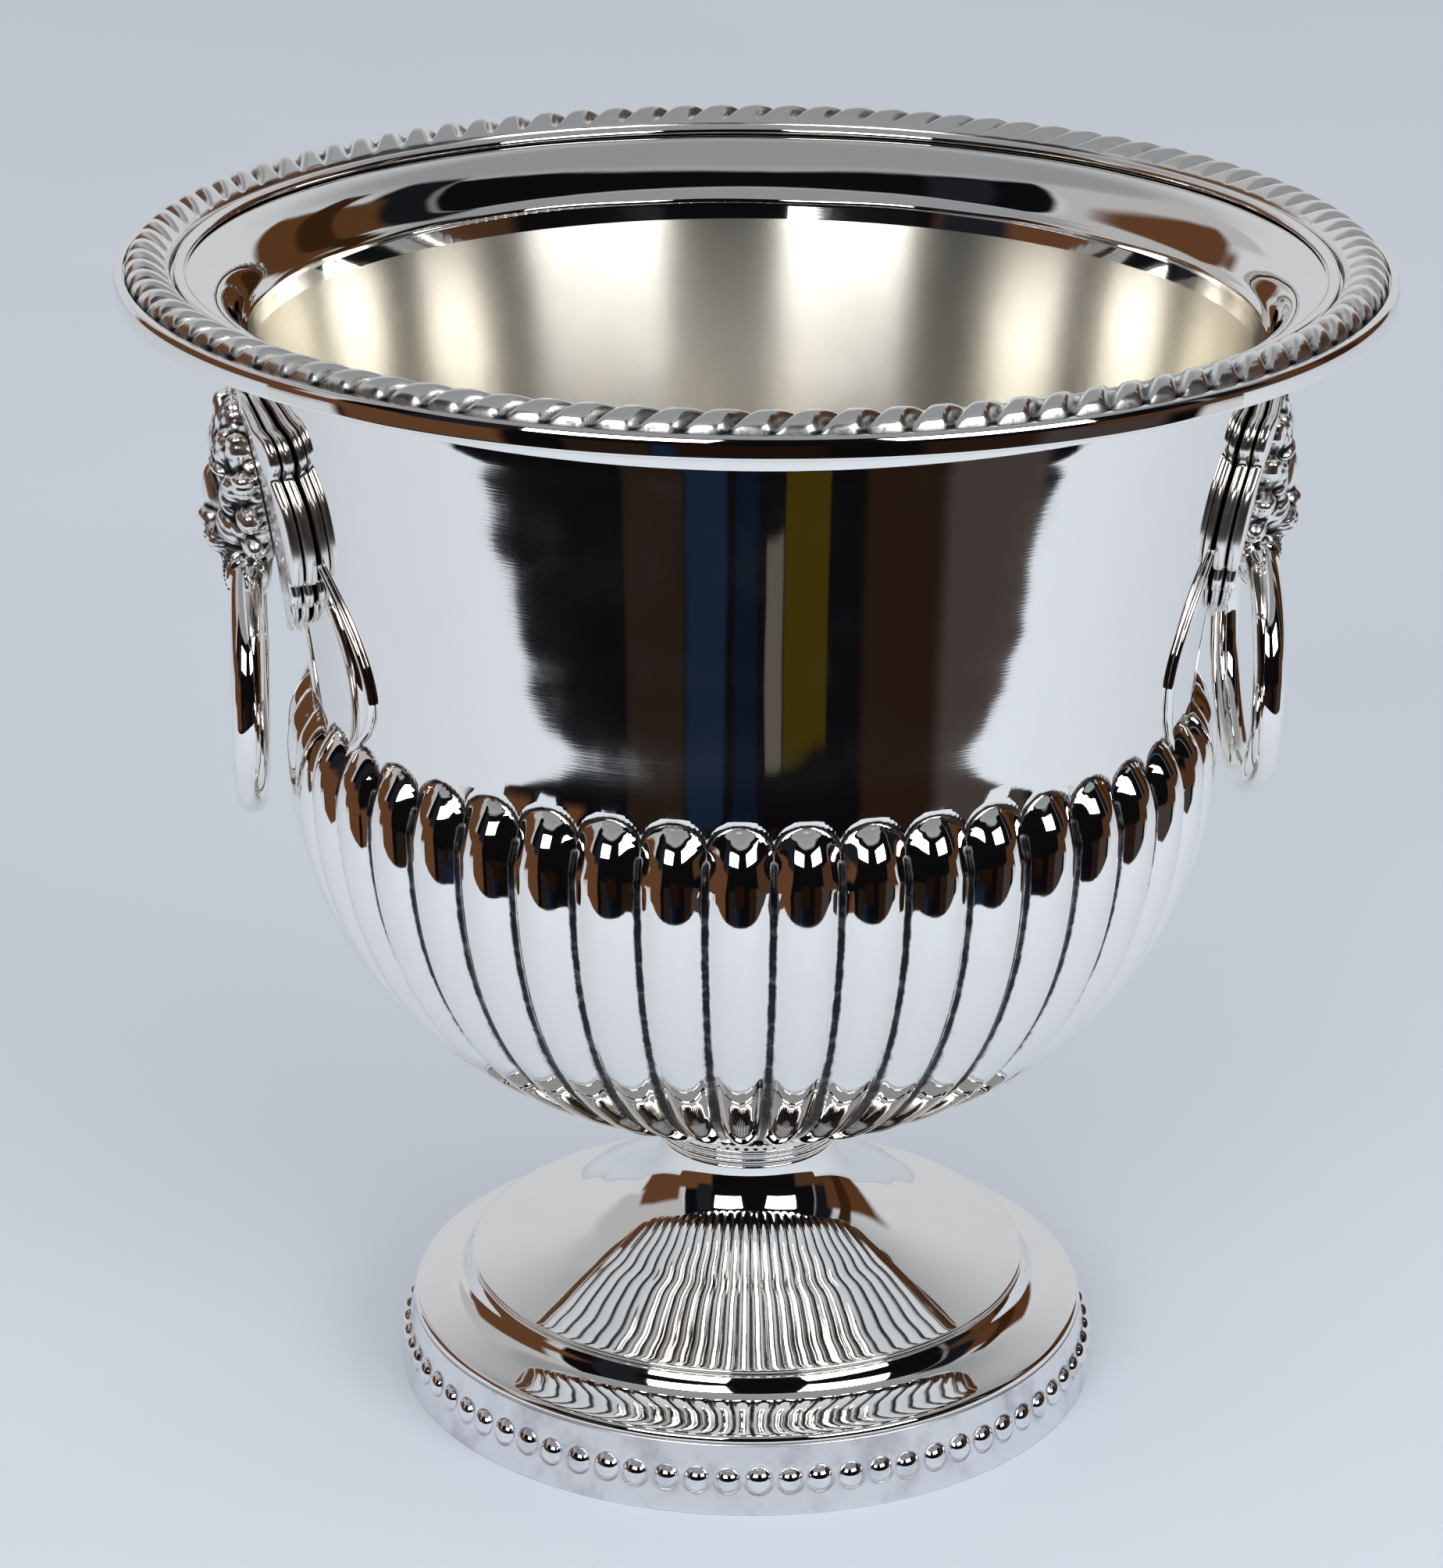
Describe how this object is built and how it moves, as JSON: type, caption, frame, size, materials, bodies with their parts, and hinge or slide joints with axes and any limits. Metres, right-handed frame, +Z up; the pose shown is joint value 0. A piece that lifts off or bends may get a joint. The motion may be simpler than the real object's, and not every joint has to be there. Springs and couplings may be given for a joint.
{
  "type": "silver champagne bucket",
  "caption": "Urn-shaped silver wine cooler: fluted bowl on a beaded pedestal foot, gadrooned flared rim, lion-mask handles with free-swinging drop rings.",
  "frame": {"origin": "centre of the foot, on the surface that the cooler stands on", "axes": "+Z up along the bowl's axis, +X through the right-hand ring, -Y towards the front"},
  "size_m": [0.2552, 0.2552, 0.2471],
  "materials": {
    "polished_silver": "mirror-polished silver plate",
    "oxidised_silver": "cast silver plate, polished on the high points and oxidised in the recesses",
    "satin_silver": "satin silver plate with light tarnish"
  },
  "bodies": {
    "cooler": {"bowl": "polished_silver", "rim_band": "polished_silver", "gadroon_border": "oxidised_silver", "rim_fillet": "polished_silver", "neck_collar": "polished_silver", "pedestal": "polished_silver", "base_moulding": "polished_silver", "bead_band": "satin_silver", "right_mask_backing": "oxidised_silver", "right_mask_plate": "oxidised_silver", "right_lion_head": "oxidised_silver", "right_front_arch_wire": "polished_silver", "right_rear_arch_wire": "polished_silver", "left_mask_backing": "oxidised_silver", "left_mask_plate": "oxidised_silver", "left_lion_head": "oxidised_silver", "left_front_arch_wire": "polished_silver", "left_rear_arch_wire": "polished_silver"},
    "right_ring": {"right_drop_ring": "polished_silver"},
    "left_ring": {"left_drop_ring": "polished_silver"}
  },
  "joints": [
    {"name": "right_ring_swing", "type": "hinge", "parent": "cooler", "child": "right_ring", "pos_m": [0.1028, 0, 0.1816], "axis": [0, -1, 0], "range_deg": [-3, 80]},
    {"name": "left_ring_swing", "type": "hinge", "parent": "cooler", "child": "left_ring", "pos_m": [-0.1028, 0, 0.1816], "axis": [0, 1, 0], "range_deg": [-3, 80]}
  ]
}
